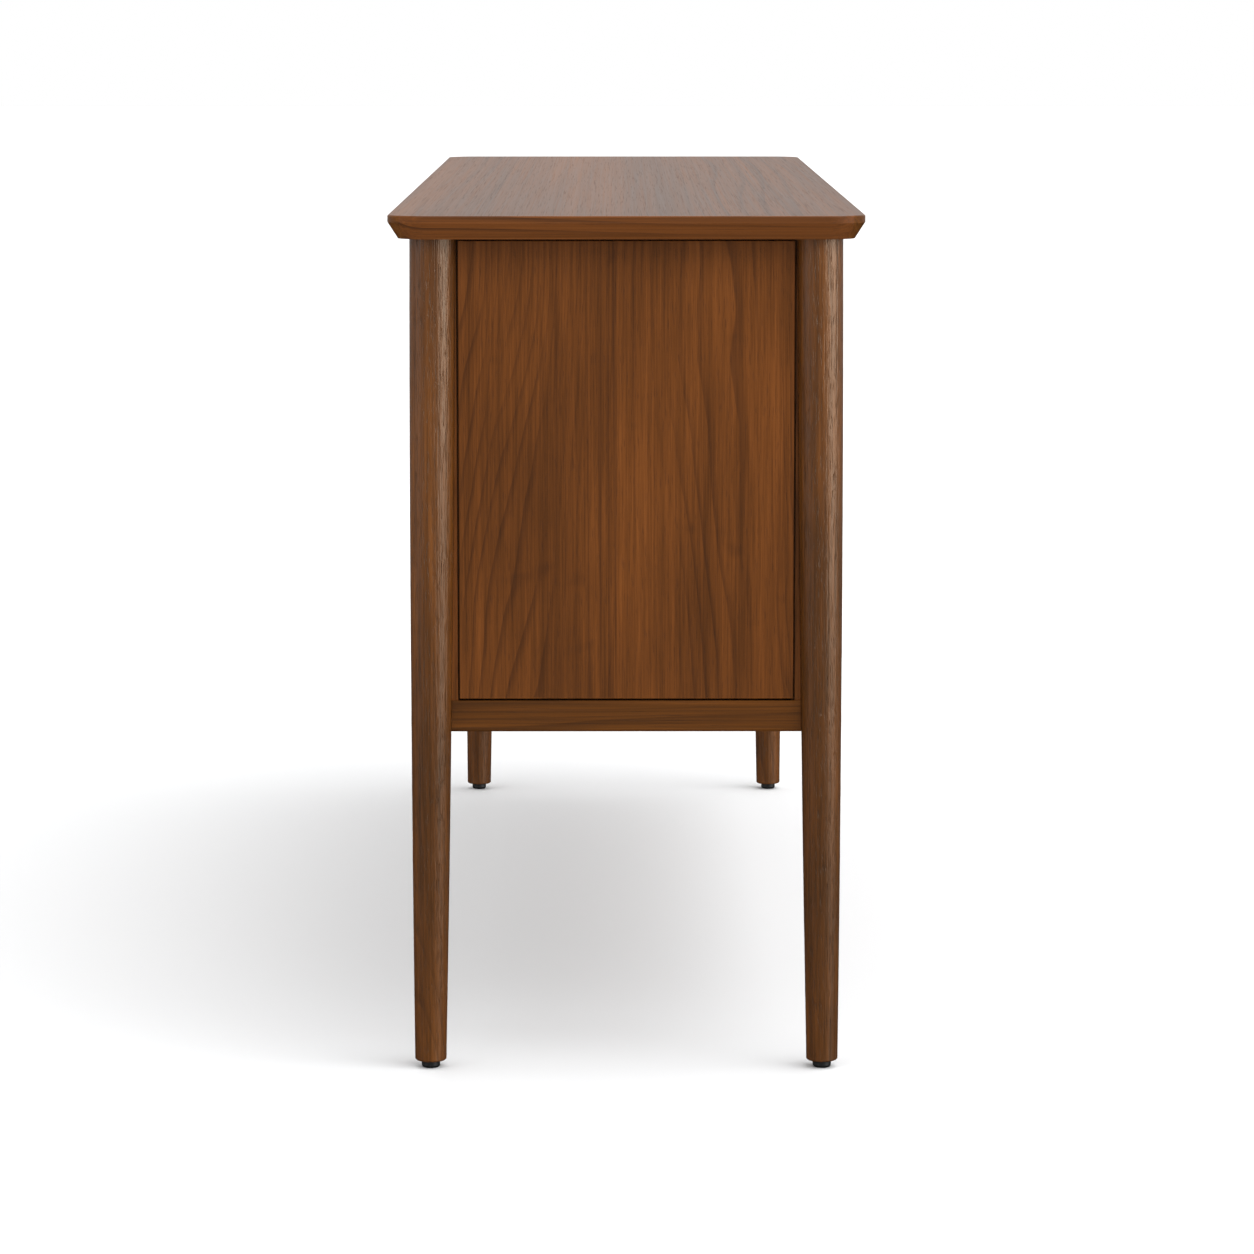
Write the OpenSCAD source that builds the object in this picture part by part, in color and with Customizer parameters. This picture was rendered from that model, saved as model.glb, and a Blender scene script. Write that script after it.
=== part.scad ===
// Walnut sideboard buffet on four round, tapered legs.
// A slab top sits on the legs; the case hangs between them, framed by rails and
// corner posts, with two hinged doors, three drawers and an inset back.
// X runs along the length, the front faces -Y and +Z is up.
// The origin is on the floor, under the middle of the piece.

/* [Overall] */
// Length of the top
body_length = 1676; // [1300:1:2100]
// Depth of the top, front to back
body_depth = 457; // [400:1:560]
// Height from the floor to the top surface
body_height = 835; // [700:1:1000]

/* [Top slab] */
// Thickness of the slab
slab_t = 22.5; // [18:0.5:40]
// Height of the upright band at the slab's upper edge
slab_band = 7; // [3:0.5:12]
// How far the underside bevel comes in from the edge
slab_bevel_in = 10; // [4:0.5:20]
// Radius of the slab's corners in plan
slab_corner_r = 35; // [22:1:80]
// Small ease on the slab's upper edge
slab_ease = 1; // [0.5:0.1:2]

/* [Legs and feet] */
// Leg axis to the end of the top, at the leg's head
leg_inset_x = 44; // [36:0.5:80]
// Leg axis to the front or back of the top, at the leg's head
leg_inset_y = 42.5; // [36:0.5:70]
// Radius of a leg at its head
leg_top_r = 22; // [19:0.5:30]
// Radius of a leg at its foot
leg_bottom_r = 15.4; // [13:0.1:20]
// How far a leg leans outwards over its height
leg_lean = 6; // [0:0.5:12]
// How early the taper fades out towards the head
leg_curve = 1.85; // [1:0.05:3]
// Chamfer round a leg's lower end
leg_edge = 1.2; // [0.5:0.1:2]
// Height of the levelling foot's pad
foot_h = 7.5; // [5:0.5:15]
// Radius of the levelling foot's pad
foot_r = 9; // [7:0.5:13]
// Radius of the foot's threaded stem
stem_r = 3; // [2.5:0.5:4]
// Length of the stem inside the leg
stem_l = 20; // [12:1:30]
// Wall of the threaded bushing in the leg
bushing_wall = 3; // [2:0.5:5]
// How far the bushing runs on past the stem's end
bushing_over = 0.8; // [0.2:0.1:3]
// Radial clearance of the stem in its bushing
stem_fit = 0.05; // [0.02:0.01:0.1]
// Air between the foot's pad and the leg's end
foot_air = 0.3; // [0.2:0.1:0.5]

/* [Frame] */
// Floor to the underside of the bottom rails
rail_z = 333; // [250:1:420]
// Height of the bottom rails
rail_h = 30.5; // [24:0.5:50]
// Thickness of the bottom rails
rail_t = 22; // [18:0.5:28]
// Ease on the rails' lower outer edge
rail_ease = 2.2; // [0.5:0.1:4]
// How far a corner post stands past the leg's head radius
post_proud = 0.4; // [0.3:0.1:3]
// Glue clearance between a leg and the wood that is coved to it
cove_fit = 0.15; // [0.1:0.05:0.3]
// Setback of the corner posts from the leg axis
post_setback = 2; // [1:0.5:5]
// Width of the two hidden rails under the slab
top_rail_w = 60; // [40:1:90]
// Thickness of the two hidden rails under the slab
top_rail_t = 18; // [15:0.5:22]

/* [Case panels] */
// Thickness of the end panels and the back panel
panel_t = 12; // [9:0.5:16]
// Shadow gap at a panel's or door's upright edge
reveal_side = 1.8; // [1.7:0.1:4]
// Shadow gap above panels, doors and the upper drawer
reveal_top = 3; // [2:0.1:6]
// Shadow gap above the bottom rails
reveal_bottom = 2; // [1.5:0.1:5]
// Thickness of the inner case sides
side_t = 14; // [12:0.5:18]
// Thickness of the case floor
floor_t = 18; // [12:0.5:22]
// Thickness of the two dividers
divider_t = 18; // [15:0.5:22]
// Section of the upright cleats that hold the back panel
cleat = 20; // [20:0.5:30]

/* [Shelves] */
// Thickness of a shelf
shelf_t = 18; // [12:0.5:22]
// Underside of a shelf above the case floor
shelf_rise = 206; // [120:1:280]
// Clearance at each end of a shelf
shelf_clear = 1; // [0.5:0.1:2]
// Distance from a shelf's front edge to the back of a door
shelf_back = 12; // [5:1:60]
// Radius of a shelf pin
pin_r = 2.5; // [2:0.5:4]
// Length of a shelf pin outside its hole
pin_out = 9; // [6:0.5:12]
// Depth of a shelf pin in its hole
pin_in = 9; // [6:0.5:10]
// Distance from a shelf's edges to its pins
pin_edge = 35; // [20:1:80]

/* [Doors] */
// Width of a door
door_w = 505; // [380:1:560]
// Thickness of doors and drawer fronts
front_t = 19; // [18:0.5:22]
// Gap between neighbouring fronts
front_gap = 2.4; // [2:0.1:4]
// Clearance from the fronts to the dividers behind them
front_clear = 2.4; // [1.5:0.1:3]
// Radius of the half-moon finger cut-outs
pull_r = 60; // [45:1:80]
// Depth of a drawer's finger cut-out
pull_drawer = 20; // [14:1:26]
// Depth of a door's finger cut-out
pull_door = 26; // [20:1:34]

/* [Hinges and catches] */
// Height of a butt hinge
hinge_h = 50; // [40:1:76]
// Width of a hinge leaf on the wood
leaf_w = 15; // [10:0.5:16]
// Clearance between the two closed leaves
leaf_gap = 0.3; // [0.2:0.05:0.5]
// Radius of the hinge barrel
barrel_r = 2.2; // [2:0.1:2.6]
// Radius of the hinge pin
hinge_pin_r = 1; // [0.8:0.1:1.2]
// Radial clearance of the pin in the turning knuckle
pin_fit = 0.05; // [0.02:0.01:0.1]
// Gap between neighbouring knuckles
knuckle_gap = 0.3; // [0.2:0.1:0.6]
// Door edge to the middle of a hinge
hinge_edge = 60; // [40:1:100]
// Length of a magnetic catch
catch_w = 36; // [24:1:50]
// Depth of a magnetic catch
catch_d = 12; // [8:1:18]
// Height of a magnetic catch
catch_h = 10; // [6:1:16]
// Thickness of the steel strike on the door
strike_t = 1; // [0.8:0.1:2]
// Air between a closed strike and its magnet
catch_air = 0.3; // [0.2:0.1:0.5]
// Free edge of a door to the middle of its catch
catch_edge = 60; // [40:1:120]

/* [Drawers] */
// Thickness of drawer sides and backs
box_t = 14; // [12:0.5:16]
// Air between the hidden rails' screws and the upper drawer's sides
box_room = 5.4; // [3:0.1:40]
// Underside of the drawer sides above the front's lower edge
box_lift = 16; // [10:1:24]
// Space behind the closed drawers
box_behind = 21; // [8:1:100]
// Gap between a drawer side and the divider
box_clear = 1.5; // [1:0.1:3]
// Thickness of the drawer bottoms
bottom_t = 6; // [4:0.5:9]
// Depth of the grooves that hold a drawer bottom
bottom_groove = 5; // [3:0.5:5]
// Underside of the drawer bottom above the sides' lower edge
bottom_lift = 10; // [6:1:20]
// Height of a wooden runner
runner_h = 12; // [8:0.5:16]
// Depth of the runner groove in a drawer side
runner_groove = 7; // [5:0.5:8]
// Running gap between a runner and its groove
runner_fit = 0.3; // [0.2:0.1:0.5]
// How much shorter a runner is than the drawer side
runner_short = 20; // [10:1:80]

/* [Screws] */
// Radius of a screw's shank
screw_r = 2; // [1.5:0.5:2.5]
// Radius of a screw's head
screw_head_r = 4; // [3:0.5:5]
// Thickness of a screw's head
screw_head_t = 2; // [1.5:0.5:3]
// Length of a screw under its head
screw_l = 28; // [22:1:30]
// Inner screws of the hidden rails, from the middle of a divider
top_screw_in = 136.4; // [60:0.1:180]
// Outer screws of the hidden rails, from the case side
top_screw_out = 118; // [40:1:160]
// Distance of the back screws from the ends of the back panel
back_screw_edge = 50; // [30:1:90]

/* [Hidden] */
$fn = 64;
FRONT = -1;
BACK = 1;
LEFT = -1;
RIGHT = 1;
DRAWERS = 3;
eps = 1;
leg_x = body_length/2 - leg_inset_x;
leg_y = body_depth/2 - leg_inset_y;
leg_top = body_height - slab_t;
leg_len = leg_top - foot_h;
lean_angle = atan(leg_lean/leg_len);
bushing_sink = 0.2;
pad_top = foot_h - foot_air;
pad_ease = 0.5;
rail_top = rail_z + rail_h;
post_reach = leg_top_r + post_proud;
panel_edge = post_reach + reveal_side;
panel_z = rail_top + reveal_bottom;
panel_top = leg_top - reveal_top;
panel_h = panel_top - panel_z;
side_in = panel_t + side_t;
inner_x = leg_x - side_in;
box_drop = top_rail_t - reveal_top + screw_head_t + box_room;
case_front = front_t + front_clear;
top_rail_z = leg_top - top_rail_t;
rail_notch = 1;
runner_set = 3;
groove_ahead = 1;
depth_in = 2*leg_y;
front_edge = leg_x - panel_edge;
divider_x = front_edge - door_w - front_gap/2;
bay_x = divider_x - divider_t/2;
drawer_front_w = 2*(divider_x - front_gap/2);
drawer_front_h = (panel_h - (DRAWERS - 1)*front_gap)/DRAWERS;
box_w = 2*(bay_x - box_clear);
box_h = drawer_front_h - box_lift - box_drop;
box_l = depth_in - front_t - panel_t - box_behind;
runner_l = box_l - runner_short;
runner_y = -leg_y + case_front + runner_set;
leaf_t = (reveal_side - leaf_gap)/2;
hinge_x = post_reach + barrel_r;
barrel_proud = 0.2;
leaf_set = 1;
web_bite = 0.3;
hinge_y = -barrel_r - barrel_proud;
knuckle_h = (hinge_h - 2*knuckle_gap)/3;
hinge_zs = [panel_z + hinge_edge, panel_top - hinge_edge];
catch_x = panel_edge + door_w - catch_edge;
strike_in = 3;
strike_drop = 2;
shelf_z = rail_top + shelf_rise;
shelf_front = front_t + shelf_back;
shelf_end = depth_in - panel_t - cleat - 2*shelf_clear;
pin_ys = [shelf_front + pin_edge, shelf_end - pin_edge];
back_screw_zs = [panel_z + back_screw_edge, (panel_z + panel_top)/2, panel_top - back_screw_edge];
back_screw_xs = [divider_x, inner_x - cleat/2];
top_screw_xs = [divider_x + top_screw_in, inner_x - top_screw_out];
front_rail_y = -leg_y + case_front + rail_notch;
back_rail_y = leg_y - panel_t - top_rail_w;
walnut = "#7a4a2c";
walnut_dark = "#5f3921";
maple = "#c9a67a";
brass = "#b08d4a";
steel = "#9a9a9a";
black = "#1b1b1b";

CORNERS = [
    ["front_left", LEFT, FRONT],
    ["front_right", RIGHT, FRONT],
    ["back_left", LEFT, BACK],
    ["back_right", RIGHT, BACK]
];

// ---- placing ----

// Places its children at one corner: origin on the leg's head axis at floor
// level, +X and +Y pointing inwards.
module corner(sx, sy) {
    translate([sx*leg_x, sy*leg_y, 0])
        mirror([sx > 0 ? 1 : 0, 0, 0])
            mirror([0, sy > 0 ? 1 : 0, 0])
                children();
}

// Places its children at one end, seen from the front corner's leg axis.
module at_end(sx) {
    corner(sx, FRONT) children();
}

// A box from its low corner to its high corner.
module block(low, high) {
    translate(low) cube(high - low);
}

// ---- top ----

// Outline of the slab's edge, from the plan centre of a corner outwards.
module slab_profile(run) {
    polygon([
        [0, 0],
        [run - slab_bevel_in, 0],
        [run, slab_t - slab_band],
        [run, slab_t - slab_ease],
        [run - slab_ease, slab_t],
        [0, slab_t]
    ]);
}

module slab_strip(run, length) {
    rotate([90, 0, 0])
        translate([0, 0, -length/2])
            linear_extrude(length)
                union() {
                    slab_profile(run);
                    mirror([1, 0]) slab_profile(run);
                }
}

module top_slab() {
    half_x = body_length/2 - slab_corner_r;
    half_y = body_depth/2 - slab_corner_r;
    color(walnut)
        difference() {
            translate([0, 0, leg_top])
                union() {
                    slab_strip(body_length/2, 2*half_y);
                    rotate([0, 0, 90]) slab_strip(body_depth/2, 2*half_x);
                    for (sx = [-1, 1], sy = [-1, 1])
                        translate([sx*half_x, sy*half_y, 0])
                            rotate_extrude($fn = 96) slab_profile(slab_corner_r);
                }
            top_screws();
        }
}

// ---- legs and feet ----

function leg_r(t) = leg_bottom_r + (leg_top_r - leg_bottom_r)*(1 - pow(1 - t, leg_curve));

// The leg's turned body in corner coordinates, leaning outwards, fit larger all
// round and over longer at its head.
module turned_leg(over, fit = 0) {
    steps = 12;
    body = leg_len - leg_edge;
    translate([0, 0, leg_top])
        rotate([-lean_angle, 0, 0])
            translate([0, 0, -leg_len])
                rotate_extrude($fn = 96)
                    polygon(concat(
                        [[0, 0], [leg_bottom_r - leg_edge, 0]],
                        [for (i = [0:steps]) [leg_r(i/steps) + fit, leg_edge + body*i/steps]],
                        [[leg_top_r + fit, leg_len + over], [0, leg_len + over]]
                    ));
}

module bushing_hole() {
    translate([0, -leg_lean, foot_h - eps])
        cylinder(r = stem_r + bushing_wall, h = stem_l + bushing_sink + bushing_over + eps);
}

module leg(sx, sy) {
    color(walnut)
        corner(sx, sy)
            difference() {
                turned_leg(eps);
                block([-2*leg_top_r, -2*leg_top_r, leg_top], [2*leg_top_r, 2*leg_top_r, leg_top + 2*eps]);
                bushing_hole();
            }
}

module foot_bushings() {
    color(steel)
        for (c = CORNERS)
            corner(c[1], c[2])
                translate([0, -leg_lean, foot_h + bushing_sink])
                    difference() {
                        cylinder(r = stem_r + bushing_wall, h = stem_l + bushing_over);
                        translate([0, 0, -eps])
                            cylinder(r = stem_r + stem_fit, h = stem_l + 2*eps + bushing_over);
                    }
}

// Pad with a rounded lower edge, and the stem that screws into the leg.
module foot(sx, sy) {
    edge = foot_h/3;
    color(black)
        corner(sx, sy)
            translate([0, -leg_lean, 0])
                union() {
                    rotate_extrude()
                        polygon(concat(
                            [[0, 0]],
                            [for (a = [0:15:90])
                                [foot_r - edge + edge*sin(a), edge - edge*cos(a)]],
                            [[foot_r, pad_top - pad_ease], [foot_r - pad_ease, pad_top], [0, pad_top]]
                        ));
                    translate([0, 0, foot_h/2]) cylinder(r = stem_r, h = stem_l + foot_h/2);
                }
}

// ---- frame ----

// The square stock of a corner post, over longer at both ends.
module post_block(sx, sy, over = 0) {
    corner(sx, sy)
        block([post_setback, post_setback, rail_top - over], [post_reach, post_reach, leg_top + over]);
}

// The four posts' stock, to notch what passes them.
module post_notches() {
    for (c = CORNERS) post_block(c[1], c[2], eps);
}

// Fills the inner corner between the leg and the case. The leg is cut out of it.
module post(sx, sy) {
    color(walnut_dark)
        difference() {
            post_block(sx, sy);
            corner(sx, sy) turned_leg(eps, cove_fit);
        }
}

// Section of a bottom rail: X is depth behind the leg axis, Y is height.
module rail_section() {
    polygon([
        [0, rail_z + rail_ease],
        [rail_ease, rail_z],
        [rail_t, rail_z],
        [rail_t, rail_top],
        [0, rail_top]
    ]);
}

// Half-space beyond the mitre at a corner, on one side of the diagonal.
module mitre(keep_long) {
    far = 3*rail_t;
    translate([0, 0, rail_z - eps])
        linear_extrude(rail_h + 2*eps)
            polygon(keep_long
                ? [[-rail_t, -rail_t], [far, far], [-rail_t, far]]
                : [[-rail_t, -rail_t], [far, far], [far, -rail_t]]);
}

module end_rail(sx) {
    color(walnut)
        difference() {
            at_end(sx)
                translate([0, leg_y, 0])
                    rotate([90, 0, 0])
                        translate([0, 0, -leg_y])
                            linear_extrude(depth_in) rail_section();
            for (sy = [FRONT, BACK])
                corner(sx, sy) {
                    turned_leg(eps, cove_fit);
                    mitre(false);
                }
        }
}

// A rail along the length, in front or at the back.
module long_rail(sy) {
    color(walnut)
        difference() {
            translate([0, sy*leg_y, 0])
                mirror([0, sy > 0 ? 1 : 0, 0])
                    rotate([90, 0, 90])
                        translate([0, 0, -leg_x])
                            linear_extrude(2*leg_x) rail_section();
            for (sx = [LEFT, RIGHT])
                corner(sx, sy) {
                    turned_leg(eps, cove_fit);
                    mitre(true);
                }
        }
}

module top_rail_body(y) {
    block([-inner_x, y, top_rail_z], [inner_x, y + top_rail_w, leg_top]);
}

module top_rail(y) {
    color(maple)
        difference() {
            top_rail_body(y);
            top_screws();
            post_notches();
        }
}

// ---- case ----

module end_panel(sx) {
    color(walnut)
        at_end(sx)
            block([0, panel_edge, panel_z], [panel_t, depth_in - panel_edge, panel_top]);
}

// Room beside a front post for the door and the clearance behind it.
module door_room(sx) {
    at_end(sx)
        block([post_reach, -eps, rail_top - eps], [post_reach + side_in, case_front, leg_top + eps]);
}

module case_side(sx) {
    color(walnut_dark)
        difference() {
            at_end(sx)
                block([panel_t, post_reach, rail_top], [side_in, depth_in - post_reach, leg_top]);
            door_room(sx);
            shelf_pin_set(sx);
        }
}

module case_floor() {
    color(walnut_dark)
        block([-leg_x + rail_t, -leg_y + rail_t, rail_top - floor_t],
              [leg_x - rail_t, leg_y - rail_t, rail_top]);
}

module divider(sx) {
    color(walnut_dark)
        difference() {
            translate([sx*divider_x, 0, 0])
                block([-divider_t/2, -leg_y + case_front, rail_top],
                      [divider_t/2, leg_y - panel_t, leg_top]);
            top_rail_body(front_rail_y);
            top_rail_body(back_rail_y);
            shelf_pin_set(sx);
            back_screws();
        }
}

module back_panel() {
    color(walnut)
        difference() {
            block([-front_edge, leg_y - panel_t, panel_z], [front_edge, leg_y, panel_top]);
            back_screws();
        }
}

module back_cleats() {
    color(maple)
        difference() {
            for (sx = [LEFT, RIGHT])
                corner(sx, BACK)
                    block([side_in, panel_t, rail_top], [side_in + cleat, panel_t + cleat, top_rail_z]);
            back_screws();
            post_notches();
        }
}

// ---- shelves ----

module shelf(sx) {
    low = divider_x + divider_t/2 + shelf_clear;
    color(walnut_dark)
        translate([sx*(low + inner_x - shelf_clear)/2, 0, 0])
            block([-(inner_x - shelf_clear - low)/2, -leg_y + shelf_front, shelf_z],
                  [(inner_x - shelf_clear - low)/2, -leg_y + shelf_end, shelf_z + shelf_t]);
}

// The four pins of one bay: two in the case side and two in the divider.
module shelf_pin_set(sx) {
    length = pin_in + pin_out;
    for (y = pin_ys)
        translate([0, y - leg_y, shelf_z - pin_r]) {
            translate([sx*(inner_x + (pin_in - pin_out)/2), 0, 0])
                rotate([0, 90, 0]) cylinder(r = pin_r, h = length, center = true);
            translate([sx*(divider_x + divider_t/2 - (pin_in - pin_out)/2), 0, 0])
                rotate([0, 90, 0]) cylinder(r = pin_r, h = length, center = true);
        }
}

module shelf_pins() {
    color(brass)
        for (sx = [LEFT, RIGHT]) shelf_pin_set(sx);
}

// ---- doors ----

module door(sx) {
    free_edge = panel_edge + door_w;
    color(walnut)
        at_end(sx)
            difference() {
                block([panel_edge, 0, panel_z], [free_edge, front_t, panel_top]);
                translate([free_edge + pull_r - pull_door, -eps, (panel_z + panel_top)/2])
                    rotate([-90, 0, 0]) cylinder(r = pull_r, h = front_t + 2*eps, $fn = 128);
            }
}

// One knuckle of a hinge barrel, drilled for the pin.
module knuckle(z, height, bore) {
    translate([hinge_x, hinge_y, z])
        difference() {
            cylinder(r = barrel_r, h = height);
            translate([0, 0, -eps]) cylinder(r = bore, h = height + 2*eps);
        }
}

// A leaf with its knuckles. The web joins the plate to each knuckle.
module leaf(x, knuckle_zs, bore) {
    block([x, leaf_set, 0], [x + leaf_t, leaf_set + leaf_w, hinge_h]);
    for (z = knuckle_zs) {
        knuckle(z, knuckle_h, bore);
        difference() {
            block([x, hinge_y, z], [x + leaf_t, leaf_set, z + knuckle_h]);
            translate([hinge_x, hinge_y, z - eps])
                cylinder(r = barrel_r - web_bite, h = knuckle_h + 2*eps);
        }
    }
}

module case_leaves(sx) {
    color(brass)
        at_end(sx)
            for (z = hinge_zs)
                translate([0, 0, z - hinge_h/2])
                    leaf(post_reach, [0, 2*(knuckle_h + knuckle_gap)], hinge_pin_r);
}

module door_leaves(sx) {
    color(brass)
        at_end(sx)
            for (z = hinge_zs)
                translate([0, 0, z - hinge_h/2])
                    leaf(panel_edge - leaf_t, [knuckle_h + knuckle_gap], hinge_pin_r + pin_fit);
}

module hinge_pins(sx) {
    color(brass)
        at_end(sx)
            for (z = hinge_zs)
                translate([hinge_x, hinge_y, z - hinge_h/2])
                    cylinder(r = hinge_pin_r, h = hinge_h);
}

module door_catches() {
    y = front_t + strike_t + catch_air;
    color(black)
        for (sx = [LEFT, RIGHT])
            at_end(sx)
                block([catch_x - catch_w/2, y, top_rail_z - catch_h],
                      [catch_x + catch_w/2, y + catch_d, top_rail_z]);
}

module strike(sx) {
    half = catch_w/2 - strike_in;
    color(steel)
        at_end(sx)
            block([catch_x - half, front_t, top_rail_z - catch_h - strike_drop],
                  [catch_x + half, front_t + strike_t, top_rail_z]);
}

// ---- drawers ----

function drawer_z(level) = panel_z + level*(drawer_front_h + front_gap);
function box_z(level) = drawer_z(level) + box_lift;
function runner_z(level) = box_z(level) + box_h/2 - runner_h/2;

module drawer_bottom(level) {
    half = box_w/2 - box_t + bottom_groove;
    z = box_z(level) + bottom_lift;
    color(maple)
        block([-half, -leg_y + front_t - bottom_groove, z],
              [half, -leg_y + front_t + box_l, z + bottom_t]);
}

module drawer_front(level) {
    z = drawer_z(level);
    color(walnut)
        difference() {
            block([-drawer_front_w/2, -leg_y, z],
                  [drawer_front_w/2, -leg_y + front_t, z + drawer_front_h]);
            translate([0, -leg_y - eps, z + drawer_front_h + pull_r - pull_drawer])
                rotate([-90, 0, 0]) cylinder(r = pull_r, h = front_t + 2*eps, $fn = 128);
            drawer_bottom(level);
        }
}

module drawer_side(level, sx) {
    z = box_z(level);
    groove_z = runner_z(level);
    y = -leg_y + front_t;
    color(maple)
        difference() {
            translate([sx*(box_w - box_t)/2, 0, 0])
                block([-box_t/2, y, z], [box_t/2, y + box_l, z + box_h]);
            translate([sx*(box_w/2 - runner_groove/2 + eps/2), 0, 0])
                block([-(runner_groove + eps)/2, runner_y - groove_ahead, groove_z - runner_fit],
                      [(runner_groove + eps)/2, y + box_l + eps, groove_z + runner_h + runner_fit]);
            drawer_bottom(level);
        }
}

module drawer_back(level) {
    half = box_w/2 - box_t;
    end = -leg_y + front_t + box_l;
    color(maple)
        block([-half, end - box_t, box_z(level) + bottom_lift + bottom_t],
              [half, end, box_z(level) + box_h]);
}

module drawer_runners() {
    reach = box_clear + runner_groove - runner_fit;
    color(walnut_dark)
        for (sx = [LEFT, RIGHT], level = [0:DRAWERS - 1])
            translate([sx*(bay_x - reach/2), 0, 0])
                block([-reach/2, runner_y, runner_z(level)],
                      [reach/2, runner_y + runner_l, runner_z(level) + runner_h]);
}

// ---- screws ----

// A pan-head screw standing on its head, pointing up.
module screw() {
    cylinder(r = screw_head_r, h = screw_head_t);
    cylinder(r = screw_r, h = screw_head_t + screw_l);
}

// Screws up through the hidden rails into the slab.
module top_screws() {
    for (x = top_screw_xs, sx = [LEFT, RIGHT], y = [front_rail_y, back_rail_y])
        translate([sx*x, y + top_rail_w/2, top_rail_z - screw_head_t]) screw();
}

// Screws through the back panel into the cleats and the dividers.
module back_screws() {
    for (x = back_screw_xs, sx = [LEFT, RIGHT], z = back_screw_zs)
        translate([sx*x, leg_y, z]) rotate([90, 0, 0]) screw();
}

module case_screws() {
    color(steel) {
        top_screws();
        back_screws();
    }
}

// ---- nodes ----

top_slab();
leg(LEFT, FRONT);  // leg_front_left
leg(RIGHT, FRONT);  // leg_front_right
leg(LEFT, BACK);  // leg_back_left
leg(RIGHT, BACK);  // leg_back_right
foot(LEFT, FRONT);  // foot_front_left
foot(RIGHT, FRONT);  // foot_front_right
foot(LEFT, BACK);  // foot_back_left
foot(RIGHT, BACK);  // foot_back_right
foot_bushings();
post(LEFT, FRONT);  // post_front_left
post(RIGHT, FRONT);  // post_front_right
post(LEFT, BACK);  // post_back_left
post(RIGHT, BACK);  // post_back_right
end_rail(LEFT);  // end_rail_left
end_rail(RIGHT);  // end_rail_right
long_rail(FRONT);  // front_rail
long_rail(BACK);  // back_rail
top_rail(front_rail_y);  // front_top_rail
top_rail(back_rail_y);  // back_top_rail
end_panel(LEFT);  // end_panel_left
end_panel(RIGHT);  // end_panel_right
case_side(LEFT);  // case_side_left
case_side(RIGHT);  // case_side_right
case_floor();
divider(LEFT);  // divider_left
divider(RIGHT);  // divider_right
back_panel();
back_cleats();
shelf(LEFT);  // shelf_left
shelf(RIGHT);  // shelf_right
shelf_pins();
door(LEFT);  // door_left
door(RIGHT);  // door_right
case_leaves(LEFT);  // case_leaves_left
case_leaves(RIGHT);  // case_leaves_right
door_leaves(LEFT);  // door_leaves_left
door_leaves(RIGHT);  // door_leaves_right
hinge_pins(LEFT);  // hinge_pins_left
hinge_pins(RIGHT);  // hinge_pins_right
door_catches();
strike(LEFT);  // strike_left
strike(RIGHT);  // strike_right
drawer_runners();
drawer_front(2);  // upper_front
drawer_side(2, LEFT);  // upper_side_left
drawer_side(2, RIGHT);  // upper_side_right
drawer_back(2);  // upper_back
drawer_bottom(2);  // upper_bottom
drawer_front(1);  // middle_front
drawer_side(1, LEFT);  // middle_side_left
drawer_side(1, RIGHT);  // middle_side_right
drawer_back(1);  // middle_back
drawer_bottom(1);  // middle_bottom
drawer_front(0);  // lower_front
drawer_side(0, LEFT);  // lower_side_left
drawer_side(0, RIGHT);  // lower_side_right
drawer_back(0);  // lower_back
drawer_bottom(0);  // lower_bottom
case_screws();
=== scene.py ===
"""Looks for the walnut sideboard buffet: procedural wood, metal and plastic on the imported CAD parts."""

import math

import bpy
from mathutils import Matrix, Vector


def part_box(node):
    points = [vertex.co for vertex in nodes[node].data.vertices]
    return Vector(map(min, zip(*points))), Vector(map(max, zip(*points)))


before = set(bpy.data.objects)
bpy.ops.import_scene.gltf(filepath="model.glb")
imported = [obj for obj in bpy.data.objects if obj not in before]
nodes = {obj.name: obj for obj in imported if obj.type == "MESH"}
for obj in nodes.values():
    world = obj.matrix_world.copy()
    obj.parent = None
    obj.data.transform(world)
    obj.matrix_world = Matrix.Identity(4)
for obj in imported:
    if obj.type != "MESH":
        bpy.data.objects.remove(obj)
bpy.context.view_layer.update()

CORNERS = ("front_left", "front_right", "back_left", "back_right")
SIDES = ("left", "right")
DRAWERS = ("upper", "middle", "lower")
X, Y, Z = Vector((1, 0, 0)), Vector((0, 1, 0)), Vector((0, 0, 1))

# Seeds that are set, and not counted up board by board: the left and right end panels, the veneer of
# the fronts, and the slab's edge band. SEED_STEP is how far one seed's figure is from the next.
END_FIGURES = (36, 14)
FRONT_FIGURE = 0.5
BAND_FIGURE = 40
SEED_STEP = (0.37, 0.21, 1.3)

# Growth lines to a metre of level, plain and fine, and how far a board's rubbed edges reach in.
RINGS = 64.0
FINE_RINGS = 165.0
WEAR_REACH = 0.0022

# Finishes: roughness of the maple and the runners, and how far sharp edges are eased. Short edges in the
# outline of the case sides hold their easing to about a hundredth of a millimetre.
SAWN = 0.5
PLANED = 0.48
PANEL_EASE = 0.0007
BOARD_EASE = 0.0006
CASE_EASE = 0.0004
EASED_ANGLE = math.radians(50)
WELD_REACH = 0.00001

FLOOR_SIZE = 80
FLOOR_COLOUR = (0.690, 0.696, 0.702)
SURROUND_FADE = (-0.09, -0.04)
WARM, COOL = (1.0, 0.84, 0.62), (0.92, 0.96, 1.0)

# The camera faces the +X end, with the front at the left of the picture.
CAMERA_LENS = 129.8
CAMERA_SENSOR = 36.0
CAMERA_PITCH = math.radians(7.87)
CAMERA_YAW = math.radians(0.14)
CAMERA_PLACE = Vector((5.136, -0.010, 1.036))
CAMERA_REACH = 200


def srgb(r, g, b):
    """A screen colour, 0 to 255 a channel, as linear values."""
    return tuple(c / 255 / 12.92 if c <= 10 else ((c / 255 + 0.055) / 1.055) ** 2.4 for c in (r, g, b))


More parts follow.
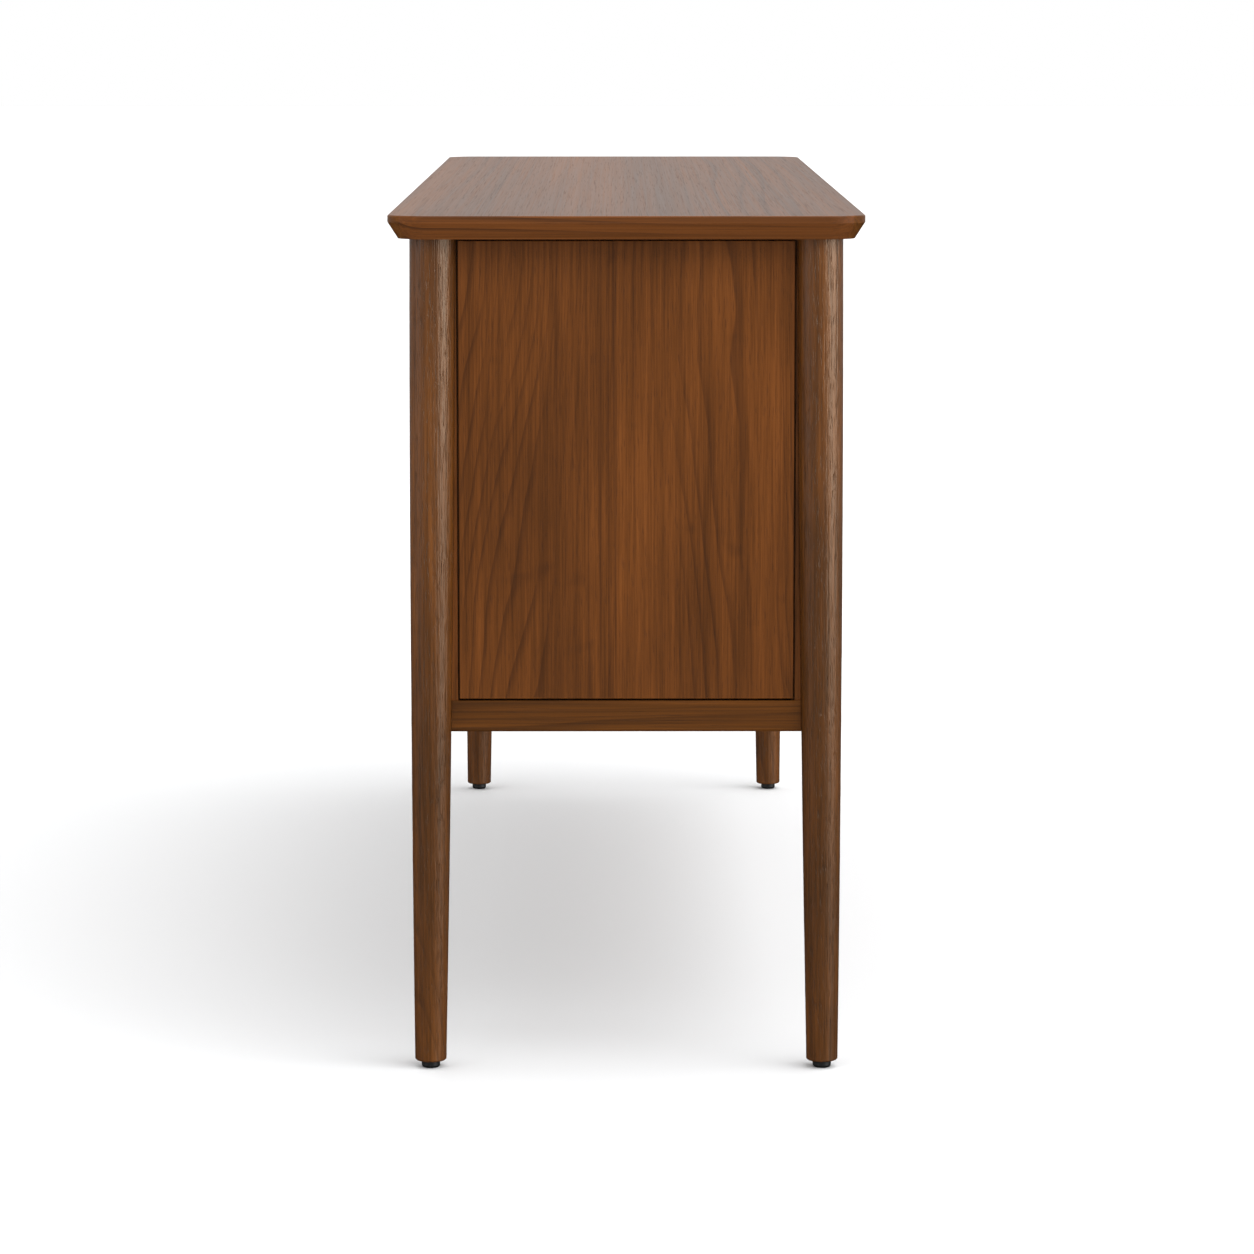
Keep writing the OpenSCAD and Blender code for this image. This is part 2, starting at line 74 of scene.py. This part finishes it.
def wood_tones(light, mid, dark, line):
    """The colours of one wood: its pale, middle and dark streaks, and its growth lines."""
    return {"light": srgb(*light), "mid": srgb(*mid), "dark": srgb(*dark), "line": srgb(*line)}


WALNUT = wood_tones((112, 63, 23), (93, 51, 16), (72, 39, 11), (38, 20, 8))
WALNUT_TOP = wood_tones((107, 64, 25), (88, 51, 18), (68, 39, 13), (38, 21, 9))
WALNUT_TURNED = wood_tones((106, 61, 18), (84, 47, 12), (62, 35, 9), (39, 22, 8))
WALNUT_INNER = wood_tones((122, 78, 46), (101, 63, 36), (80, 48, 27), (56, 33, 19))
MAPLE = wood_tones((222, 190, 145), (208, 172, 124), (188, 150, 103), (158, 120, 78))


# ---- shader graphs ----


class Graph:
    """Short ways to add and wire shader nodes in one material."""

    def __init__(self, name):
        self.material = bpy.data.materials.new(name)
        self.material.use_nodes = True
        self.tree = self.material.node_tree
        self.tree.nodes.clear()

    def node(self, kind, **settings):
        made = self.tree.nodes.new(kind)
        for key, value in settings.items():
            setattr(made, key, value)
        return made

    def plug(self, value, socket):
        if isinstance(value, bpy.types.NodeSocket):
            self.tree.links.new(value, socket)
        elif isinstance(value, tuple) and socket.type == "RGBA" and len(value) == 3:
            socket.default_value = (*value, 1.0)
        elif value is not None:
            socket.default_value = value

    def math(self, operation, a, b=None, c=None):
        made = self.node("ShaderNodeMath", operation=operation)
        for value, socket in zip((a, b, c), made.inputs):
            self.plug(value, socket)
        return made.outputs[0]

    def weighted(self, *terms):
        """The sum of (value, weight) pairs."""
        total = 0.0
        for value, weight in terms:
            total = self.math("MULTIPLY_ADD", value, weight, total)
        return total

    def stretched(self, place, scale):
        made = self.node("ShaderNodeVectorMath", operation="MULTIPLY")
        self.plug(place, made.inputs[0])
        self.plug(scale, made.inputs[1])
        return made.outputs[0]

    def noise(self, place, scale, detail=2.0, roughness=0.5):
        """Noise in 0 to 1, with its own scale on each axis."""
        made = self.node("ShaderNodeTexNoise")
        self.plug(self.stretched(place, scale), made.inputs["Vector"])
        self.plug(1.0, made.inputs["Scale"])
        self.plug(detail, made.inputs["Detail"])
        self.plug(roughness, made.inputs["Roughness"])
        return made.outputs["Fac"]

    def remap(self, value, low, high, to_low=0.0, to_high=1.0):
        made = self.node("ShaderNodeMapRange", interpolation_type="SMOOTHSTEP")
        self.plug(value, made.inputs["Value"])
        for socket, number in zip(made.inputs[1:5], (low, high, to_low, to_high)):
            socket.default_value = number
        return made.outputs[0]

    def ramp(self, value, stops):
        made = self.node("ShaderNodeValToRGB")
        points = made.color_ramp.elements
        while len(points) < len(stops):
            points.new(0.5)
        for point, (place, colour) in zip(points, stops):
            point.position = place
            point.color = (*colour, 1.0)
        self.plug(value, made.inputs[0])
        return made.outputs["Color"]

    def mix(self, factor, a, b):
        made = self.node("ShaderNodeMix", data_type="RGBA")
        self.plug(factor, made.inputs[0])
        self.plug(a, made.inputs[6])
        self.plug(b, made.inputs[7])
        return made.outputs[2]

    def surface(self, colour, roughness, bump, depth, **settings):
        """The finished material. Settings are uniform values, set on the shader's own sockets."""
        shader = self.node("ShaderNodeBsdfPrincipled")
        self.plug(colour, shader.inputs["Base Color"])
        self.plug(roughness, shader.inputs["Roughness"])
        for key, value in settings.items():
            shader.inputs[key.replace("_", " ")].default_value = value
        relief = self.node("ShaderNodeBump")
        relief.inputs["Distance"].default_value = depth
        self.plug(bump, relief.inputs["Height"])
        self.plug(relief.outputs[0], shader.inputs["Normal"])
        out = self.node("ShaderNodeOutputMaterial")
        self.plug(shader.outputs[0], out.inputs["Surface"])
        return self.material


def board_places(g, grain, face, middle):
    """Row-frame places as a board's own: X across its face, Y through it, Z along its grain."""
    coords = g.node("ShaderNodeTexCoord").outputs["Object"]
    made = g.node("ShaderNodeCombineXYZ")
    for socket, axis in zip(made.inputs, (face.cross(grain), face, grain)):
        along = g.node("ShaderNodeVectorMath", operation="DOT_PRODUCT")
        g.plug(coords, along.inputs[0])
        along.inputs[1].default_value = axis
        g.plug(g.math("SUBTRACT", along.outputs["Value"], axis.dot(middle)), socket)
    return made.outputs[0]


def edge_wear(g, place, half, reach):
    """1 along the edges of a board with these half sizes, fading out over reach."""
    parts = g.node("ShaderNodeSeparateXYZ")
    g.plug(place, parts.inputs[0])
    a, b, c = (g.math("SUBTRACT", size, g.math("ABSOLUTE", at)) for size, at in zip(half, parts.outputs))
    near = g.math("MINIMUM", g.math("MAXIMUM", a, b), c)
    second = g.math("MAXIMUM", g.math("MINIMUM", a, b), near)
    return g.remap(second, 0.0, reach, 1.0, 0.0)


# ---- wood ----


def growth_lines(g, level, count):
    """Thin dark lines at even steps of level: a slow rise to each line and a quick end."""
    phase = g.math("FRACT", g.math("MULTIPLY", level, count))
    return g.math("MULTIPLY", g.remap(phase, 0.58, 0.95), g.remap(phase, 0.95, 1.0, 1.0, 0.0))


def wood(
    name, grain, face, box, root, seed, tones, lines=0.42, rough=0.40, shine=0.10, relief=0.00012, run=1.0
):
    """Flat-sawn wood: wandering growth lines, streaks, fibres, pores and slow drifts of colour.

    The figure is laid out from root, and the worn edges are those of the box. A figure with a
    run of 2 is twice as long.
    """
    g = Graph(name)
    low, high = box
    size = (high - low) / 2
    half = [abs(axis.dot(size)) for axis in (face.cross(grain), face, grain)]
    moved = g.node("ShaderNodeVectorMath", operation="ADD")
    g.plug(board_places(g, grain, face, root), moved.inputs[0])
    moved.inputs[1].default_value = tuple(step * seed for step in SEED_STEP)
    p = g.stretched(moved.outputs[0], (1.0, 1.0, 1.0 / run))
    parts = g.node("ShaderNodeSeparateXYZ")
    g.plug(p, parts.inputs[0])
    across, through, _ = parts.outputs

    # Growth lines are levels of a slowly wandering height across the board.
    sway = g.noise(p, (4.5, 4.5, 1.5), 1.5)
    curl = g.noise(p, (24.0, 24.0, 8.0), 2.0)
    crowd = g.noise(p, (9.0, 9.0, 0.6), 1.0)
    level = g.weighted((across, 1.0), (through, 0.8), (sway, 0.26), (curl, 0.010), (crowd, 0.07))
    ring = growth_lines(g, level, RINGS)
    ring = g.math("MULTIPLY", ring, g.remap(g.noise(p, (17.0, 17.0, 1.8), 2.0), 0.34, 0.62))
    fine = growth_lines(g, g.weighted((level, 1.0), (sway, -0.17)), FINE_RINGS)
    fine = g.math("MULTIPLY", fine, g.remap(g.noise(p, (11.0, 11.0, 0.9), 1.0), 0.48, 0.66))
    ring = g.math("MAXIMUM", ring, g.math("MULTIPLY", fine, 0.75))

    # Straighter parts of the board show close, thin lines instead.
    close = g.remap(g.noise(p, (230.0, 230.0, 1.3), 2.0, 0.6), 0.52, 0.70)
    close = g.math("MULTIPLY", close, g.remap(g.noise(p, (8.0, 8.0, 0.7), 1.0), 0.42, 0.60))

    streak = g.noise(p, (95.0, 95.0, 1.7), 3.0, 0.55)
    fibre = g.noise(p, (520.0, 520.0, 10.0), 3.0, 0.6)
    drift = g.noise(p, (7.0, 7.0, 2.6), 3.0, 0.5)
    smudge = g.remap(g.noise(p, (21.0, 21.0, 26.0), 2.0), 0.64, 0.80)
    pore = g.remap(g.noise(p, (1300.0, 1300.0, 60.0), 1.0), 0.60, 0.72)
    fleck = g.noise(p, (330.0, 330.0, 48.0), 2.0)

    tone = g.weighted((streak, 0.75), (fibre, 0.95), (drift, 1.0), (1.0, -0.87))
    colour = g.ramp(tone, ((0.15, tones["dark"]), (0.5, tones["mid"]), (0.85, tones["light"])))
    colour = g.mix(g.math("MULTIPLY", ring, lines), colour, tones["line"])
    colour = g.mix(g.math("MULTIPLY", close, lines), colour, tones["line"])
    colour = g.mix(g.math("MULTIPLY", smudge, 0.28), colour, tones["line"])
    colour = g.mix(g.math("MULTIPLY", pore, 0.30), colour, tones["line"])

    # Handled edges are rubbed paler and smoother, in patches.
    wear = edge_wear(g, board_places(g, grain, face, (low + high) / 2), half, WEAR_REACH)
    wear = g.math("MULTIPLY", wear, g.remap(g.noise(p, (60.0, 60.0, 22.0), 3.0), 0.38, 0.66))
    colour = g.mix(g.math("MULTIPLY", wear, 0.35), colour, tones["light"])
    gloss = g.weighted((fibre, 0.14), (drift, 0.03), (pore, 0.06), (wear, -0.08), (1.0, rough - 0.09))
    height = g.weighted((fibre, 0.6), (fleck, 0.5), (streak, 0.2), (pore, -0.6), (ring, -0.15))
    return g.surface(colour, gloss, height, relief, Specular_IOR_Level=shine)


# ---- metal and plastic ----


def metal(name, base, worn, rough, fine):
    """Drawn or plated metal: fine scratches, dull patches and brighter rubbed spots."""
    g = Graph(name)
    p = g.node("ShaderNodeTexCoord").outputs["Object"]
    scratch = g.noise(p, (fine, fine, fine * 0.08), 3.0, 0.6)
    patch = g.noise(p, (90.0, 90.0, 90.0), 3.0)
    rubbed = g.remap(g.noise(p, (260.0, 260.0, 260.0), 2.0), 0.55, 0.75)
    colour = g.mix(g.remap(patch, 0.35, 0.7), base, worn)
    colour = g.mix(g.math("MULTIPLY", rubbed, 0.3), colour, tuple(min(1.0, c * 1.3) for c in base))
    gloss = g.weighted((scratch, 0.18), (patch, 0.16), (rubbed, -0.06), (1.0, rough - 0.16))
    return g.surface(colour, gloss, scratch, 0.00002, Metallic=1.0)


def plastic(name, base, scuffed):
    """Moulded plastic with a fine grain and pale scuffs."""
    g = Graph(name)
    p = g.node("ShaderNodeTexCoord").outputs["Object"]
    grain = g.noise(p, (1800.0, 1800.0, 1800.0), 2.0)
    scuff = g.remap(g.noise(p, (220.0, 220.0, 700.0), 3.0, 0.65), 0.56, 0.74)
    colour = g.mix(g.math("MULTIPLY", scuff, 0.4), base, scuffed)
    gloss = g.weighted((grain, 0.12), (scuff, 0.18), (1.0, 0.34))
    return g.surface(colour, gloss, grain, 0.00004)


BRASS = metal("brass_satin", srgb(196, 158, 90), srgb(158, 120, 64), rough=0.30, fine=900.0)
STEEL = metal("steel_zinc", srgb(186, 188, 190), srgb(150, 152, 153), rough=0.34, fine=700.0)
BRONZE = metal("bronze_dark", srgb(104, 82, 62), srgb(70, 54, 42), rough=0.42, fine=700.0)
BLACK = plastic("plastic_black", srgb(17, 16, 16), srgb(52, 51, 50))


# ---- dressing the parts ----

boards_made = 0


def dress(node, material):
    mesh = nodes[node].data
    mesh.materials.clear()
    mesh.materials.append(material)


def ease_edges(node, width):
    """Rounds a board's sharp edges a little, inside its own shape."""
    made = nodes[node]
    weld = made.modifiers.new("weld", "WELD")
    weld.merge_threshold = WELD_REACH
    bevel = made.modifiers.new("ease", "BEVEL")
    bevel.width = width
    bevel.segments = 2
    bevel.limit_method = "ANGLE"
    bevel.angle_limit = EASED_ANGLE
    bevel.harden_normals = True


def board(node, grain, face, tones=WALNUT, root=None, seed=None, ease=0.0, **looks):
    """Gives a node its own piece of wood. Boards with one root and seed share a run of figure."""
    global boards_made
    low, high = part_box(node)
    boards_made += 1
    if root is None:
        root = (low + high) / 2
    if seed is None:
        seed = boards_made
    dress(node, wood("wood_" + node, grain, face, (low, high), root, seed, tones, **looks))
    if ease:
        ease_edges(node, ease)


def band_ends(node, grain, face):
    """Covers a board's end faces, bevel and all, with an edge band whose grain runs along the edge.

    Faces whose normal is steeper than flat are the board's top and bottom, and stay as they are.
    """
    mesh = nodes[node].data
    low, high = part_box(node)
    name = "wood_" + node + "_band"
    looks = {"lines": 0.9, "shine": 0.14, "run": 4.0}
    mesh.materials.append(wood(name, grain, face, (low, high), high, BAND_FIGURE, WALNUT, **looks))
    flat = 0.9
    for polygon in mesh.polygons:
        normal = polygon.normal
        if abs(normal.dot(face)) > abs(normal.dot(grain)) and abs(normal.z) < flat:
            polygon.material_index = 1


def dress_case():
    board("top_slab", X, Z, WALNUT_TOP, rough=0.38, shine=0.07, relief=0.00003, run=7.0)
    band_ends("top_slab", Y, X)
    for corner in CORNERS:
        board("leg_" + corner, Z, X, WALNUT_TURNED, lines=0.34, rough=0.35, shine=0.21, relief=0.0008)
        board("post_" + corner, Z, X)
    for side, figure in zip(SIDES, END_FIGURES):
        board("end_panel_" + side, Z, X, seed=figure, ease=PANEL_EASE)
    for side in SIDES:
        board("end_rail_" + side, Y, X, WALNUT_TURNED, run=2.5)
        board("case_side_" + side, Z, X, WALNUT_INNER, ease=CASE_EASE)
        board("divider_" + side, Z, X, WALNUT_INNER)
        board("shelf_" + side, X, Z, WALNUT_INNER, ease=BOARD_EASE)
    board("front_rail", X, Y, WALNUT_TURNED, run=2.5)
    board("back_rail", X, Y, WALNUT_TURNED, run=2.5)
    board("case_floor", X, Z, WALNUT_INNER)
    board("back_panel", X, Y)
    board("front_top_rail", X, Z, MAPLE, rough=SAWN)
    board("back_top_rail", X, Z, MAPLE, rough=SAWN)
    board("back_cleats", Z, Y, MAPLE, rough=SAWN)
    board("drawer_runners", Y, Z, WALNUT_INNER, rough=SAWN)


def dress_fronts():
    # One run of veneer crosses the doors and drawers, so the figure flows from one to the next.
    low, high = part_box("middle_front")
    centre = (low + high) / 2
    fronts = ["door_" + side for side in SIDES] + [level + "_front" for level in DRAWERS]
    for node in fronts:
        board(node, X, Y, root=centre, seed=FRONT_FIGURE, ease=BOARD_EASE)


def dress_drawers():
    for level in DRAWERS:
        for side in SIDES:
            board(f"{level}_side_{side}", Y, X, MAPLE, rough=PLANED)
        board(level + "_back", X, Y, MAPLE, rough=PLANED)
        board(level + "_bottom", X, Z, MAPLE, rough=SAWN)


def dress_fittings():
    for side in SIDES:
        dress("case_leaves_" + side, BRASS)
        dress("door_leaves_" + side, BRASS)
        dress("hinge_pins_" + side, BRASS)
        dress("strike_" + side, STEEL)
    dress("shelf_pins", BRASS)
    dress("case_screws", BRONZE)
    dress("foot_bushings", STEEL)
    dress("door_catches", BLACK)
    for corner in CORNERS:
        dress("foot_" + corner, BLACK)


# ---- studio ----


def add_floor():
    bpy.ops.mesh.primitive_plane_add(size=FLOOR_SIZE)
    floor = bpy.context.object
    floor.name = "floor"
    g = Graph("floor_paint")
    p = g.node("ShaderNodeTexCoord").outputs["Object"]
    grain = g.noise(p, (60.0, 60.0, 60.0), 3.0)
    paint = g.surface(FLOOR_COLOUR, 0.75, grain, 0.00001, Specular_IOR_Level=0.1)
    floor.data.materials.append(paint)
    floor.visible_glossy = False


def add_leg_strip(name, place, target, size, power, colour):
    """A softbox that shows only as a highlight on the four round legs, and lights nothing else."""
    legs = bpy.data.collections.new(name + "_legs")
    for corner in CORNERS:
        legs.objects.link(nodes["leg_" + corner])
    data = bpy.data.lights.new(name, "AREA")
    data.shape = "RECTANGLE"
    data.size, data.size_y = size
    data.energy = power
    data.color = colour
    lamp = bpy.data.objects.new(name, data)
    bpy.context.scene.collection.objects.link(lamp)
    lamp.visible_diffuse = False
    lamp.light_linking.receiver_collection = legs
    lamp.location = place
    lamp.rotation_euler = (Vector(target) - Vector(place)).to_track_quat("-Z", "Y").to_euler()


def add_sun(name, azimuth, height, spread, strength):
    """A broad, even light. Azimuth turns from +X to +Y; all three angles are in degrees."""
    data = bpy.data.lights.new(name, "SUN")
    data.angle = math.radians(spread)
    data.energy = strength
    lamp = bpy.data.objects.new(name, data)
    bpy.context.scene.collection.objects.link(lamp)
    turn, rise = math.radians(azimuth), math.radians(height)
    source = Vector((math.cos(rise) * math.cos(turn), math.cos(rise) * math.sin(turn), math.sin(rise)))
    lamp.rotation_euler = source.to_track_quat("Z", "Y").to_euler()


def add_world(strength, below):
    """A white surround. Under the horizon, where only reflections see it, it fades to below."""
    world = bpy.data.worlds.new("studio")
    world.use_nodes = True
    tree = world.node_tree
    background = tree.nodes["Background"]
    background.inputs[0].default_value = (1, 1, 1, 1)
    parts = tree.nodes.new("ShaderNodeSeparateXYZ")
    tree.links.new(tree.nodes.new("ShaderNodeTexCoord").outputs["Generated"], parts.inputs[0])
    fade = tree.nodes.new("ShaderNodeMapRange")
    for socket, number in zip(fade.inputs[1:5], (*SURROUND_FADE, below, strength)):
        socket.default_value = number
    tree.links.new(parts.outputs["Z"], fade.inputs["Value"])
    tree.links.new(fade.outputs[0], background.inputs[1])
    bpy.context.scene.world = world


def add_camera():
    data = bpy.data.cameras.new("camera")
    data.lens = CAMERA_LENS
    data.sensor_width = CAMERA_SENSOR
    data.clip_end = CAMERA_REACH
    camera = bpy.data.objects.new("camera", data)
    bpy.context.scene.collection.objects.link(camera)
    camera.location = CAMERA_PLACE
    level, drop = math.cos(CAMERA_PITCH), math.sin(CAMERA_PITCH)
    ahead = Vector((-level * math.cos(CAMERA_YAW), level * math.sin(CAMERA_YAW), -drop))
    camera.rotation_euler = ahead.to_track_quat("-Z", "Y").to_euler()
    bpy.context.scene.camera = camera


dress_case()
dress_fronts()
dress_drawers()
dress_fittings()
add_floor()
add_world(strength=1.0, below=0.0)
add_sun("overhead", azimuth=80, height=73, spread=48, strength=1.35)
add_sun("front", azimuth=14, height=40, spread=30, strength=0.55)
add_sun("side", azimuth=64, height=21, spread=64, strength=2.1)
add_sun("fill", azimuth=-62, height=34, spread=80, strength=0.50)
add_leg_strip("strip", (2.35, 3.1, 1.3), (0.8, 0.1, 0.5), size=(2.6, 2.6), power=300, colour=WARM)
add_leg_strip("rim", (1.7, -3.3, 1.3), (0.8, -0.1, 0.5), size=(1.7, 2.6), power=28, colour=COOL)
add_camera()
bpy.context.scene.view_settings.view_transform = "Standard"
